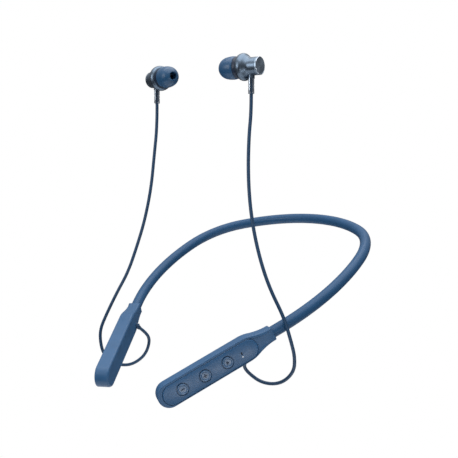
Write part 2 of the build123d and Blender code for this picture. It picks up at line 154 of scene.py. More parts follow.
# ---------------------------------------------------------------- material helpers
class Shader:
    """A node material with one Principled shader and short calls for the usual nodes."""

    def __init__(self, name, colour, roughness, **settings):
        self.material = bpy.data.materials.new(name)
        self.material.use_nodes = True
        self.material.diffuse_color = (*colour, 1)
        self.nodes = self.material.node_tree.nodes
        self.links = self.material.node_tree.links
        self.surface = self.nodes["Principled BSDF"]
        self.colour = colour
        self.roughness = roughness
        self.surface.inputs["Base Color"].default_value = (*colour, 1)
        self.surface.inputs["Roughness"].default_value = roughness
        for socket, value in settings.items():
            self.surface.inputs[socket.replace("_", " ")].default_value = value
        self.place = self.nodes.new("ShaderNodeTexCoord")
        self.normal = None

    def noise(self, scale, detail=3, stretch=None):
        """A noise pattern in the object's own space; scale is in patterns per metre."""
        pattern = self.nodes.new("ShaderNodeTexNoise")
        pattern.inputs["Scale"].default_value = scale
        pattern.inputs["Detail"].default_value = detail
        source = self.place.outputs["Object"]
        if stretch:
            mapping = self.nodes.new("ShaderNodeMapping")
            mapping.inputs["Scale"].default_value = stretch
            self.links.new(source, mapping.inputs["Vector"])
            source = mapping.outputs["Vector"]
        self.links.new(source, pattern.inputs["Vector"])
        return pattern.outputs["Fac"]

    def ramp(self, value, low, high, low_at=0.3, high_at=0.7):
        """Turn a 0 to 1 pattern into a colour, or into a grey when given two numbers."""
        node = self.nodes.new("ShaderNodeValToRGB")
        ends = node.color_ramp.elements
        ends[0].position, ends[1].position = low_at, high_at
        for end, tone in zip(ends, (low, high)):
            end.color = (tone, tone, tone, 1) if isinstance(tone, (int, float)) else (*tone, 1)
        self.links.new(value, node.inputs["Fac"])
        return node.outputs["Color"]

    def mottle(self, scale, amount):
        """Small changes of tone over the surface."""
        darker = [c * (1 - amount) for c in self.colour]
        lighter = [min(1, c * (1 + amount)) for c in self.colour]
        self.links.new(self.ramp(self.noise(scale), darker, lighter), self.surface.inputs["Base Color"])

    def vary_roughness(self, scale, amount, stretch=None):
        """Patches that are a little shinier or duller, as handling leaves them."""
        grey = self.ramp(self.noise(scale, 4, stretch), self.roughness - amount, self.roughness + amount)
        self.links.new(grey, self.surface.inputs["Roughness"])

    def bump(self, height, depth, strength=1.0):
        """Raise the surface by a pattern; depth is in metres."""
        node = self.nodes.new("ShaderNodeBump")
        node.inputs["Strength"].default_value = strength
        node.inputs["Distance"].default_value = depth
        self.links.new(height, node.inputs["Height"])
        if self.normal:
            self.links.new(self.normal, node.inputs["Normal"])
        self.normal = node.outputs["Normal"]
        self.links.new(self.normal, self.surface.inputs["Normal"])

    def wave(self, scale, direction, distortion=0.0):
        """Parallel bands in the object's own space."""
        pattern = self.nodes.new("ShaderNodeTexWave")
        pattern.bands_direction = direction
        pattern.inputs["Scale"].default_value = scale
        pattern.inputs["Distortion"].default_value = distortion
        self.links.new(self.place.outputs["Object"], pattern.inputs["Vector"])
        return pattern.outputs["Fac"]


def moulded(name, colour, roughness, grain_scale, grain_depth, **settings):
    """Moulded plastic or silicone: fine grain, slight mottling and uneven polish."""
    shader = Shader(name, colour, roughness, **settings)
    shader.mottle(90, 0.06)
    shader.vary_roughness(260, 0.05)
    shader.bump(shader.noise(grain_scale, 2), grain_depth)
    return shader.material


def coated_metal(name, colour, roughness, grain_depth=0.000004, **settings):
    """Metal under a satin coat with a fine sparkle."""
    shader = Shader(name, colour, roughness, Metallic=1.0, **settings)
    shader.mottle(400, 0.03)
    shader.vary_roughness(500, 0.02)
    shader.bump(shader.noise(9000, 2), grain_depth, 0.6)
    return shader.material


def drawn_metal(name, colour, roughness):
    """Drawn or stamped metal with fine scratches along one way."""
    shader = Shader(name, colour, roughness, Metallic=1.0)
    shader.mottle(500, 0.05)
    shader.vary_roughness(900, 0.08, stretch=(1, 1, 12))
    shader.bump(shader.noise(5000, 2, stretch=(1, 1, 20)), 0.000004)
    return shader.material


silicone_blue = moulded("silicone_blue", (0.015, 0.060, 0.138), 0.38, 5200, 0.000006, Specular_IOR_Level=0.2)
pod_blue = moulded("pod_blue", (0.022, 0.076, 0.168), 0.40, 7000, 0.000008, Specular_IOR_Level=0.3)
panel_blue = moulded("panel_blue", (0.018, 0.074, 0.170), 0.30, 9000, 0.000003, Specular_IOR_Level=0.35)
button_blue = moulded("button_blue", (0.032, 0.090, 0.185), 0.24, 9000, 0.000002, Specular_IOR_Level=0.5)
sign_blue = moulded("sign_blue", (0.005, 0.018, 0.045), 0.40, 9000, 0.000002, Specular_IOR_Level=0.3)
cable_blue = moulded("cable_blue", (0.012, 0.042, 0.094), 0.40, 4200, 0.000008, Specular_IOR_Level=0.3)
tip_blue = moulded("tip_blue", (0.014, 0.062, 0.140), 0.34, 3000, 0.000003, Specular_IOR_Level=0.35)
relief_blue = moulded("relief_blue", (0.020, 0.045, 0.085), 0.18, 3000, 0.000002, Coat_Weight=0.5)
# Painted shade: the dark ring in the gap between the bud's flange and its tip.
painted_shade_blue = moulded("painted_shade_blue", (0.008, 0.018, 0.040), 0.40, 5000, 0.000003, Specular_IOR_Level=0.3)
bud_metal = coated_metal("bud_metal", (0.105, 0.142, 0.190), 0.36)
rim_metal = coated_metal("rim_metal", (0.38, 0.42, 0.48), 0.20, 0.000001)
cap_metal = coated_metal("cap_metal", (0.220, 0.280, 0.350), 0.32, Anisotropic=0.75)
prong_metal = coated_metal("prong_metal", (0.340, 0.390, 0.450), 0.32)
spring_steel = drawn_metal("spring_steel", (0.56, 0.57, 0.58), 0.30)
stamped_steel = drawn_metal("stamped_steel", (0.62, 0.62, 0.60), 0.34)
nickel = drawn_metal("nickel", (0.70, 0.70, 0.69), 0.16)
lead_copper = moulded("lead_copper", (0.50, 0.12, 0.08), 0.45, 4000, 0.000004)
solder_mask = moulded("solder_mask", (0.02, 0.18, 0.11), 0.25, 6000, 0.000004)
foil_wrap = moulded("foil_wrap", (0.55, 0.57, 0.60), 0.35, 2500, 0.00001)
foam_grey = moulded("foam_grey", (0.08, 0.08, 0.085), 0.95, 2600, 0.00006)
driver_black = moulded("driver_black", (0.04, 0.045, 0.05), 0.45, 5000, 0.000005)
# Painted shade for the inside of the microphone slot.
painted_slot_shade = moulded("painted_slot_shade", (0.008, 0.012, 0.020), 0.60, 5000, 0.000004)


def woven_mesh():
    """Fine steel weave over the nozzle's mouth."""
    shader = Shader("woven_mesh", (0.16, 0.17, 0.19), 0.40, Metallic=0.9)
    for direction in ("Y", "Z"):
        shader.bump(shader.wave(900, direction), 0.00008)
    shader.mottle(600, 0.10)
    return shader.material


def lamp_white():
    """The light guide's face: milky and faintly lit."""
    shader = Shader("lamp_white", (0.90, 0.94, 1.0), 0.30)
    shader.surface.inputs["Emission Color"].default_value = (0.85, 0.93, 1.0, 1)
    shader.surface.inputs["Emission Strength"].default_value = 0.1
    shader.mottle(1500, 0.04)
    return shader.material


def spin_grain(material):
    """Give a spun metal face its grain in circles round the bud's axis."""
    tree = material.node_tree
    tangent = tree.nodes.new("ShaderNodeTangent")
    tangent.direction_type = "RADIAL"
    tangent.axis = "X"
    tree.links.new(tangent.outputs["Tangent"], tree.nodes["Principled BSDF"].inputs["Tangent"])


woven_steel = woven_mesh()
lamp_face = lamp_white()
spin_grain(cap_metal)


# ---------------------------------------------------------------- shape helpers
def turned(vector, axis, degrees):
    """A vector turned about an axis by the right-hand rule."""
    return Matrix.Rotation(math.radians(degrees), 3, axis) @ vector


def smoothstep(low, high, value):
    """0 below low, 1 above high and an even S between them."""
    share = min(1, max(0, (value - low) / (high - low)))
    return share * share * (3 - 2 * share)


def mix(first, second, share):
    return first + (second - first) * share


def arc(start, heading, normal, radius, degrees, step=1.6):
    """Points of an arc that turns clockwise about normal, and the heading where it ends."""
    out = normal.cross(heading)
    centre = start - out * radius
    total = math.radians(degrees)
    count = max(2, round(radius * total / step))
    angles = [total * (i + 1) / count for i in range(count)]
    points = [centre + (heading * math.sin(a) + out * math.cos(a)) * radius for a in angles]
    return points, heading * math.cos(total) - out * math.sin(total)


def rounded(corners, closed=False, step=12):
    """An outline through (x, y, radius) corners, each turned into an arc of its radius."""
    points = []
    count = len(corners)
    for i, (x, y, radius) in enumerate(corners):
        here = Vector((x, y))
        if radius == 0 or (not closed and i in (0, count - 1)):
            points.append(here)
            continue
        before = Vector(corners[i - 1][:2])
        after = Vector(corners[(i + 1) % count][:2])
        way_in = (here - before).normalized()
        way_out = (after - here).normalized()
        turn = math.atan2(way_in.x * way_out.y - way_in.y * way_out.x, way_in.dot(way_out))
        trim = min(radius * abs(math.tan(turn / 2)), 0.49 * (here - before).length,
                   0.49 * (after - here).length)
        if abs(turn) < 0.01:
            points.append(here)
            continue
        radius = trim / abs(math.tan(turn / 2))
        first = here - way_in * trim
        side = Vector((-way_in.y, way_in.x)) * math.copysign(radius, turn)
        centre = first + side
        pieces = max(2, math.ceil(abs(math.degrees(turn)) / step))
        for k in range(pieces + 1):
            swing = Matrix.Rotation(turn * k / pieces, 2)
            points.append(centre + swing @ -side)
    return points


def smooth(points, per_span=6):
    """A smooth line through (x, y) points, by Catmull-Rom spans."""
    ends = [points[0], *points, points[-1]]
    line = []
    for a, b, c, d in zip(ends, ends[1:], ends[2:], ends[3:]):
        a, b, c, d = Vector(a), Vector(b), Vector(c), Vector(d)
        for k in range(per_span):
            t = k / per_span
            line.append(((b * 2) + (c - a) * t + (a * 2 - b * 5 + c * 4 - d) * t * t
                         + (b * 3 - a - c * 3 + d) * t ** 3) / 2)
    return [*line, Vector(points[-1])]


class Mesh:
    """Points and faces gathered in a local frame, then made into one object."""

    def __init__(self):
        self.points = []
        self.faces = []

    def ring(self, points):
        first = len(self.points)
        self.points.extend(Vector(p) for p in points)
        return list(range(first, len(self.points)))

    def join(self, lower, upper, closed=True):
        """Quads between two rings of the same count."""
        count = len(lower)
        for i in range(count if closed else count - 1):
            k = (i + 1) % count
            self.faces.append((lower[i], lower[k], upper[k], upper[i]))

    def cap(self, ring):
        self.faces.append(tuple(ring))

    def make(self, name, placing=None, mirrored=False, sharp=32, weld=0.002):
        """Create the object; placing takes local millimetres to the frame's."""
        placing = placing or Matrix.Identity(4)
        flip = Matrix.Diagonal((-1, 1, 1, 1)) if mirrored else Matrix.Identity(4)
        mesh = bpy.data.meshes.new(name)
        mesh.from_pydata([tuple(flip @ placing @ p * MM) for p in self.points], [], self.faces)
        shape = bmesh.new()
        shape.from_mesh(mesh)
        bmesh.ops.remove_doubles(shape, verts=shape.verts, dist=weld * MM)
        bmesh.ops.dissolve_degenerate(shape, edges=shape.edges, dist=weld * MM)
        bmesh.ops.recalc_face_normals(shape, faces=shape.faces)
        shape.to_mesh(mesh)
        shape.free()
        mesh.shade_smooth()
        mesh.set_sharp_from_angle(angle=math.radians(sharp))
        piece = bpy.data.objects.new(name, mesh)
        bpy.context.scene.collection.objects.link(piece)
        return piece


def dress(piece, material, body, slot, *nodes, weighted=True):
    """Give a piece its material, its body and the CAD nodes it stands for; slot is not used."""
    piece.data.materials.append(material)
    if weighted and piece.type == "MESH":
        weights = piece.modifiers.new("even_shading", "WEIGHTED_NORMAL")
        weights.keep_sharp = True
    if body:
        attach(piece, body)
    for node in nodes:
        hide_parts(node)
    return piece


def lathe(profile, closed=False, segments=72):
    """Turn an (along, radius) outline about the local x axis."""
    mesh = Mesh()
    rings = []
    for along, radius in profile:
        if radius < 1e-6:
            rings.append(mesh.ring([(along, 0, 0)]))
            continue
        angles = [2 * math.pi * k / segments for k in range(segments)]
        rings.append(mesh.ring([(along, radius * math.cos(a), radius * math.sin(a)) for a in angles]))
    pairs = list(zip(rings, rings[1:]))
    if closed:
        pairs.append((rings[-1], rings[0]))
    for lower, upper in pairs:
        if len(lower) == 1 and len(upper) > 1:
            mesh.faces.extend((lower[0], upper[i], upper[(i + 1) % segments]) for i in range(segments))
        elif len(upper) == 1 and len(lower) > 1:
            mesh.faces.extend((lower[i], lower[(i + 1) % segments], upper[0]) for i in range(segments))
        else:
            mesh.join(lower, upper)
    return mesh


def frame_matrix(origin, x_axis, z_axis):
    """A placing with the given x and z axes."""
    x_axis, z_axis = x_axis.normalized(), z_axis.normalized()
    y_axis = z_axis.cross(x_axis)
    turn = Matrix((x_axis, y_axis, z_axis)).transposed().to_4x4()
    return Matrix.Translation(origin) @ turn


# ---------------------------------------------------------------- camera and cables
def make_camera():
    data = bpy.data.cameras.new("camera")
    data.lens = CAMERA_LENS
    data.sensor_width = 36
    data.clip_start, data.clip_end = 0.01, 20
    camera = bpy.data.objects.new("camera", data)
    azimuth, elevation = math.radians(CAMERA_AZIMUTH), math.radians(CAMERA_ELEVATION)
    back = Vector((math.sin(azimuth) * math.cos(elevation), -math.cos(azimuth) * math.cos(elevation),
                   math.sin(elevation)))
    camera.location = CAMERA_PLACE * MM
    camera.rotation_mode = "QUATERNION"
    camera.rotation_quaternion = (-back).to_track_quat("-Z", "Y")
    bpy.context.scene.collection.objects.link(camera)
    bpy.context.scene.camera = camera


def make_cable(side):
    """One cable as a smooth spline from its grommet to the foot of its stem."""
    data = bpy.data.curves.new(f"{side}_cable_line", "CURVE")
    data.dimensions = "3D"
    data.bevel_depth = CABLE_DIAMETER / 2 * MM
    data.bevel_resolution = 8
    data.resolution_u = 16
    data.use_fill_caps = True
    route = CABLE_ROUTE[side]
    spline = data.splines.new("NURBS")
    spline.points.add(len(route) - 1)
    for point, place in zip(spline.points, route):
        point.co = (*(Vector(place) * MM), 1)
    spline.order_u = 3
    spline.use_endpoint_u = True
    cable = bpy.data.objects.new(f"{side}_cable_line", data)
    bpy.context.scene.collection.objects.link(cable)
    dress(cable, cable_blue, f"{side}_arm", "cable_rubber", f"{side}_cable")


make_camera()
for side in SIDES:
    make_cable(side)


# ---------------------------------------------------------------- where the band and pods lie
across = Vector((1, 0, 0))
band_normal = turned(Vector((0, 0, 1)), across, BAND_SLOPE)
back_centre = Vector((0, TUBE_RADIUS, 0))
back_arc, hinge_heading = arc(back_centre, across, band_normal, BACK_RADIUS, BACK_HALF_ANGLE)
hinge_place = back_arc[-1]
arm_normal = turned(band_normal, hinge_heading, ARM_DROOP)
corner_arc, corner_heading = arc(hinge_place, hinge_heading, arm_normal, CORNER_RADIUS, CORNER_ANGLE)
side_arc, pod_heading = arc(corner_arc[-1], corner_heading, arm_normal, SIDE_RADIUS, SIDE_ANGLE)
shoulder = side_arc[-1] + pod_heading * (ARM_STRAIGHT + COLLAR_LENGTH)
pod_face = turned(arm_normal.cross(pod_heading), pod_heading, POD_TWIST)
pod_placing = frame_matrix(shoulder, -pod_heading, pod_face)


# ---------------------------------------------------------------- neck band
def make_run(side, stem, radius, offset, material, slot_name, *nodes):
    """Half of the silicone tube, or of a wire in it, from the middle of the back to the collar."""
    depths = (SLEEVE_START, ARM_STRAIGHT, ARM_STRAIGHT + SLEEVE_OVERLAP)
    socket = [side_arc[-1] + pod_heading * depth for depth in depths]
    line = [back_centre, *back_arc, *corner_arc, *side_arc, *socket]
    mesh = Mesh()
    rings = []
    upright = band_normal
    count = SLEEVE_SIDES if radius == TUBE_RADIUS else WIRE_SIDES
    for i, place in enumerate(line):
        before = line[i - 1] if i else place - across
        after = line[i + 1] if i + 1 < len(line) else place + pod_heading
        heading = (after - before).normalized() if i else across
        upright = (upright - heading * upright.dot(heading)).normalized()
        sideways = heading.cross(upright)
        middle = place + upright * offset
        angles = [2 * math.pi * k / count for k in range(count)]
        rings.append(mesh.ring([middle + (upright * math.cos(a) + sideways * math.sin(a)) * radius
                                for a in angles]))
    for lower, upper in zip(rings, rings[1:]):
        mesh.join(lower, upper)
    mesh.cap(rings[-1])
    piece = mesh.make(f"{side}_{stem}", mirrored=side == "right", sharp=60)
    piece.data.materials.append(material)
    heading = Vector((-hinge_heading.x, *hinge_heading.yz)) if side == "right" else hinge_heading
    place = Vector((-hinge_place.x, *hinge_place.yz)) if side == "right" else hinge_place
    for node in nodes:
        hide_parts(node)
    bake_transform(piece)


for side in SIDES:
    make_run(side, "sleeve", TUBE_RADIUS, 0, silicone_blue, "sleeve_silicone",
             f"{side}_band_sleeve", "band_sleeve_back")
    make_run(side, "spring", WIRE_RADIUS, WIRE_OFFSET, spring_steel, "spring_steel", "spring_wire")
    make_run(side, "leads", LEAD_RADIUS, -WIRE_OFFSET, lead_copper, "lead_copper", "lead_wires")


# ---------------------------------------------------------------- pods
def pod_half_outline():
    """Upper half of the pod's side view, from the collar's end to the tip."""
    middle = Vector((FLARE_MIDDLE, FLARE_MIDDLE_HEIGHT))
    collar = tangent_arc(Vector((COLLAR_LENGTH, COLLAR_HALF_HEIGHT)), Vector((-1, 0)), middle, 16)
    heading = (middle - Vector((COLLAR_LENGTH, COLLAR_HALF_HEIGHT))).normalized()
    heading = Vector((2 * heading.x ** 2 - 1, 2 * heading.x * heading.y)) * -1
    flare = tangent_arc(middle, heading, Vector((FLARE_START, POD_HALF_HEIGHT)), 8)
    tip_centre = POD_TIP + POD_HALF_HEIGHT
    corner = rounded([(COLLAR_LENGTH, 0, 0), (COLLAR_LENGTH, COLLAR_HALF_HEIGHT, COLLAR_CORNER),
                      (*collar[3], 0)])[1:-1]
    edge = [Vector((FLARE_START - 2.5 * k, POD_HALF_HEIGHT)) for k in range(1, 18)]
    line = [*corner, *collar[3:], *flare[1:], *edge]
    for k in range(TIP_POINTS):
        angle = math.radians(90 + 90 * k / (TIP_POINTS - 1))
        line.append(Vector((tip_centre + POD_HALF_HEIGHT * math.cos(angle),
                            POD_HALF_HEIGHT * math.sin(angle))))
    return line


def tangent_arc(start, heading, end, count):
    """Points from start to end along the arc that leaves start in the given heading."""
    across_way = Vector((-heading.y, heading.x))
    chord = end - start
    radius = chord.length_squared / (2 * chord.dot(across_way))
    centre = start + across_way * radius
    total = 2 * math.atan2(chord.dot(across_way), chord.dot(heading))
    return [centre + Matrix.Rotation(total * k / count, 2) @ (start - centre) for k in range(count + 1)]


def outline_normals(line):
    """Outward normals of the upper half outline, whose first point sits on the end face."""
    normals = []
    for i in range(len(line)):
        before = line[i - 1] if i else line[0] - Vector((0, 1))
        after = line[i + 1] if i + 1 < len(line) else Vector((line[i - 1].x, -line[i - 1].y))
        way = (after - before).normalized()
        normals.append(Vector((way.y, -way.x)))
    return normals


def recess_point(index, count, rear_count, along):
    """The point of the panel's recess that a point of the outline faces."""
    front, rear = PANEL_FRONT + PANEL_HALF_HEIGHT, PANEL_REAR - PANEL_HALF_HEIGHT
    if index < rear_count:
        centre, angle = rear, math.radians(90 * index / rear_count)
    elif index >= count - TIP_POINTS:
        share = (index - count + TIP_POINTS) / (TIP_POINTS - 1)
        centre, angle = front, math.radians(90 + 90 * share)
    else:
        return Vector((along, RECESS_HALF_HEIGHT))
    return Vector((centre + RECESS_HALF_HEIGHT * math.cos(angle), RECESS_HALF_HEIGHT * math.sin(angle)))


def make_housing(side):
    """The pod's shell: rounded edges, a collar that narrows to the tube and a recess for the panel."""
    half = pod_half_outline()
    normals = outline_normals(half)
    rear_count = sum(1 for p in half if p.x > PANEL_REAR - PANEL_HALF_HEIGHT)
    narrowing = [smoothstep(FLARE_START, COLLAR_LENGTH - 3, p.x) for p in half]
    depth = [mix(POD_HALF_THICKNESS, COLLAR_HALF_THICKNESS, n) for n in narrowing]
    at_end = [smoothstep(0.35, 0.75, n.x) for n in normals]
    inner_edge = [mix(mix(INNER_EDGE, COLLAR_EDGE, n), END_EDGE, e) for n, e in zip(narrowing, at_end)]
    outer_edge = [mix(mix(OUTER_EDGE, COLLAR_EDGE, n), END_EDGE, e) for n, e in zip(narrowing, at_end)]
    count = len(half)
    mesh = Mesh()

    def loop(offsets, heights):
        """Both halves of the outline moved inwards, as one closed ring."""
        upper = [(half[i] - normals[i] * offsets[i], heights[i]) for i in range(count)]
        points = [(p.x, p.y, z) for p, z in upper]
        points += [(p.x, -p.y, z) for p, z in reversed(upper[:-1])]
        return mesh.ring(points)

    steps = 7
    rings = []
    for k in range(steps + 1):
        angle = math.radians(90 * k / steps)
        rings.append(loop([r * (1 - math.sin(angle)) for r in inner_edge],
                          [-d + r * (1 - math.cos(angle)) for d, r in zip(depth, inner_edge)]))
    for k in range(steps + 1):
        angle = math.radians(90 * k / steps)
        rings.append(loop([r * (1 - math.cos(angle)) for r in outer_edge],
                          [d - r * (1 - math.sin(angle)) for d, r in zip(depth, outer_edge)]))

    # From the outer face's edge in to the panel's recess, dipping behind the panel's round end
    recess = [recess_point(i, count, rear_count, half[i].x) for i in range(count)]
    rows = 7
    for k in range(1, rows + 1):
        share = k / rows
        upper = []
        for i in range(count):
            start = half[i] - normals[i] * outer_edge[i]
            place = start.lerp(recess[i], share)
            turn = 1 - min(1, i / rear_count)
            dip = RECESS_DIP * smoothstep(0.05, 0.55, turn) * smoothstep(0.25, 1, share)
            upper.append((place.x, place.y, depth[i] * (1 - share) + POD_HALF_THICKNESS * share - dip
                          if half[i].x > PANEL_REAR - PANEL_HALF_HEIGHT else depth[i]))
        shift = PANEL_CENTRE * share
        rings.append(mesh.ring([(x, y + shift, z) for x, y, z in upper]
                               + [(x, shift - y, z) for x, y, z in reversed(upper[:-1])]))
    floor = [(p.x, p.y, RECESS_FLOOR) for p in recess]
    rings.append(mesh.ring([(x, y + PANEL_CENTRE, z) for x, y, z in floor]
                           + [(x, PANEL_CENTRE - y, z) for x, y, z in reversed(floor[:-1])]))
    for lower, upper in zip(rings, rings[1:]):
        mesh.join(lower, upper)

    # The inner face and the recess floor, as strips between the two halves
    for ring in (rings[0], rings[-1]):
        for i in range(count - 2):
            mesh.faces.append((ring[i], ring[i + 1], ring[-i - 2], ring[-i - 1]))
        mesh.faces.append((ring[count - 2], ring[count - 1], ring[count]))
    piece = mesh.make(f"{side}_pod_shell", pod_placing, side == "right", sharp=40)
    return dress(piece, pod_blue, f"{side}_arm", "pod_plastic", f"{side}_housing")


def stadium(front, rear, half_height, z, steps=20):
    """A round-ended ring of points at height z."""
    points = []
    for centre, start in ((rear - half_height, -90), (front + half_height, 90)):
        for k in range(steps + 1):
            angle = math.radians(start + 180 * k / steps)
            points.append((centre + half_height * math.cos(angle),
                           PANEL_CENTRE + half_height * math.sin(angle), z))
    return points


def circle(x, y, radius, z, count=48):
    angles = [2 * math.pi * k / count for k in range(count)]
    return [(x + radius * math.cos(a), y + radius * math.sin(a), z) for a in angles]


def slot(x, y, width, length, z, steps=8):
    """A small upright slot's ring of points."""
    points = []
    for centre, start in ((y + (length - width) / 2, 0), (y - (length - width) / 2, 180)):
        for k in range(steps + 1):
            angle = math.radians(start + 180 * k / steps)
            points.append((x + width / 2 * math.cos(angle), centre + width / 2 * math.sin(angle), z))
    return points


def make_panel(side):
    """The smooth plate on the pod's face, with a round groove for each button."""
    top = POD_HALF_THICKNESS
    mesh = Mesh()
    rings = [mesh.ring(stadium(PANEL_FRONT, PANEL_REAR, PANEL_HALF_HEIGHT, RECESS_FLOOR))]
    for k in range(5):
        angle = math.radians(90 * k / 4)
        inset = PANEL_EDGE * (1 - math.cos(angle))
        rings.append(mesh.ring(stadium(PANEL_FRONT + inset, PANEL_REAR - inset, PANEL_HALF_HEIGHT - inset,
                                       top - PANEL_EDGE * (1 - math.sin(angle)))))
    for lower, upper in zip(rings, rings[1:]):
        mesh.join(lower, upper)
    loops = [rings[-1]]
    if side == "left":
        for x in BUTTON_X.values():
            profile = [(DISH_RADIUS, top), (DISH_RADIUS - 0.06, top - 0.02),
                       (DISH_RADIUS - 0.12, top - 0.12), (DISH_RADIUS - 0.14, top - 0.5),
                       (CAP_RADIUS + 0.14, top - 0.5), (CAP_RADIUS + 0.14, RECESS_FLOOR)]
            dish = [mesh.ring(circle(x, PANEL_CENTRE, radius, z)) for radius, z in profile]
            for lower, upper in zip(dish, dish[1:]):
                mesh.join(lower, upper)
            loops.append(dish[0])
        mic = [mesh.ring(slot(*MIC_PLACE, 0.76, 1.9, z)) for z in (top, 3.2)]
        mesh.join(*mic)
        mesh.cap(mic[1])
        lamp = [mesh.ring(circle(*LAMP_PLACE, LAMP_RADIUS + 0.05, z, 24)) for z in (top, 3.2)]
        mesh.join(*lamp)
        mesh.cap(lamp[1])
        loops += [mic[0], lamp[0]]
    fill_plane(mesh, loops)
    crown_panel(mesh)
    piece = mesh.make(f"{side}_pod_panel", pod_placing, side == "right", sharp=50)
    return dress(piece, panel_blue, f"{side}_arm", "panel_plastic", f"{side}_face_panel")


def fill_plane(mesh, loops):
    """Fill the flat area inside the first loop and outside the others."""
    shape = bmesh.new()
    verts = {}
    edges = []
    for ring in loops:
        for i in ring:
            verts[i] = shape.verts.new(mesh.points[i])
        edges += [shape.edges.new((verts[a], verts[b])) for a, b in zip(ring, ring[1:] + ring[:1])]
    back = {vert: i for i, vert in verts.items()}
    bmesh.ops.triangle_fill(shape, use_beauty=True, edges=edges, normal=(0, 0, 1))
    mesh.faces.extend(tuple(back[vert] for vert in face.verts) for face in shape.faces)
    shape.free()


def crown_panel(mesh):
    """Cut the panel across and along, and lift its face into a low even crown."""
    shape = bmesh.new()
    verts = [shape.verts.new(point) for point in mesh.points]
    for face in mesh.faces:
        shape.faces.new([verts[i] for i in face])
    front, rear = PANEL_FRONT + PANEL_HALF_HEIGHT, PANEL_REAR - PANEL_HALF_HEIGHT
    cuts = [((0, PANEL_CENTRE + 0.65 * k, 0), (0, 1, 0)) for k in range(-8, 9)]
    cuts += [((front - 0.7 * k, 0, 0), (1, 0, 0)) for k in range(8)]
    cuts += [((rear + 0.7 * k, 0, 0), (1, 0, 0)) for k in range(8)]
    for place, normal in cuts:
        parts = shape.verts[:] + shape.edges[:] + shape.faces[:]
        bmesh.ops.bisect_plane(shape, geom=parts, dist=1e-4, plane_co=place, plane_no=normal)
    for vert in shape.verts:
        if vert.co.z > 3.3:
            nearest = min(max(vert.co.x, front), rear)
            away = math.hypot(vert.co.x - nearest, vert.co.y - PANEL_CENTRE) / PANEL_HALF_HEIGHT
            vert.co.z += PANEL_CROWN * (1 - min(1, away) ** 2)
    shape.verts.index_update()
    mesh.points = [vert.co.copy() for vert in shape.verts]
    mesh.faces = [tuple(vert.index for vert in face.verts) for face in shape.faces]
    shape.free()


def make_button(name):
    """A button cap with a raised rim round a shallow dish that holds its sign."""
    x = BUTTON_X[name]
    top = POD_HALF_THICKNESS + PANEL_CROWN + CAP_RISE
    corners = [(2.4, 0, 0), (2.4, CAP_RADIUS, 0), (top, CAP_RADIUS, 0.35), (top, 2.35, 0.3),
               (top - CAP_DISH, 2.05, 0.5), (top - CAP_DISH, 0, 0)]
    mesh = lathe(rounded(corners, step=15))
    out = frame_matrix(Vector((x, PANEL_CENTRE, 0)), Vector((0, 0, 1)), Vector((0, 1, 0)))
    piece = mesh.make(f"cap_{name}", pod_placing @ out, sharp=50)
    dress(piece, button_blue, f"{name}_button", "button_plastic", f"button_{name}")
    make_sign(name, x, top - CAP_DISH)


def make_sign(name, x, floor):
    """The sign in the button's dish: a bar, a cross or a triangle, with soft edges."""
    arm, width = 1.08, 0.26
    outlines = {
        "minus": [(-arm, -width), (arm, -width), (arm, width), (-arm, width)],
        "plus": [(-arm, -width), (-width, -width), (-width, -arm), (width, -arm), (width, -width),
                 (arm, -width), (arm, width), (width, width), (width, arm), (-width, arm),
                 (-width, width), (-arm, width)],
        "play": [(-0.7, -0.95), (1.0, 0), (-0.7, 0.95)],
    }
    mesh = Mesh()
    corners = [(px, py, 0.14) for px, py in outlines[name]]
    line = rounded(corners, closed=True, step=30)
    centre = sum(line, Vector((0, 0))) / len(line)
    rings = []
    for shrink, height in ((0, -0.1), (0, 0.10), (0.05, 0.17), (0.10, 0.18)):
        rings.append(mesh.ring([(x + p.x + (centre - p).normalized().x * shrink,
                                 PANEL_CENTRE + p.y + (centre - p).normalized().y * shrink, floor + height)
                                for p in line]))
    for lower, upper in zip(rings, rings[1:]):
        mesh.join(lower, upper)
    mesh.cap(rings[0])
    mesh.cap(rings[-1])
    piece = mesh.make(f"sign_{name}", pod_placing, sharp=50)
    dress(piece, sign_blue, f"{name}_button", "button_plastic")


def make_lamp_and_microphone():
    """The light guide's domed end, and a dark block in the microphone slot as painted shade."""
    top = POD_HALF_THICKNESS + 0.9 * PANEL_CROWN
    mesh = lathe([(3.1, 0), (3.1, LAMP_RADIUS), (top - 0.06, LAMP_RADIUS), (top + 0.02, 0.26),
                  (top + 0.05, 0.13), (top + 0.06, 0)], segments=24)
    out = frame_matrix(Vector((*LAMP_PLACE, 0)), Vector((0, 0, 1)), Vector((0, 1, 0)))
    piece = mesh.make("lamp_dot", pod_placing @ out)
    dress(piece, lamp_face, "left_arm", "light_plastic", "led_light_guide")
    # A dark block at the bottom of the microphone slot: painted shade in the hole.
    mesh = Mesh()
    rings = [mesh.ring(slot(*MIC_PLACE, 0.74, 1.88, z)) for z in (3.1, 3.62)]
    mesh.join(*rings)
    mesh.cap(rings[0])
    mesh.cap(rings[1])
    piece = mesh.make("microphone_slot_shade", pod_placing, sharp=50)
    dress(piece, painted_slot_shade, "left_arm", "driver_body")


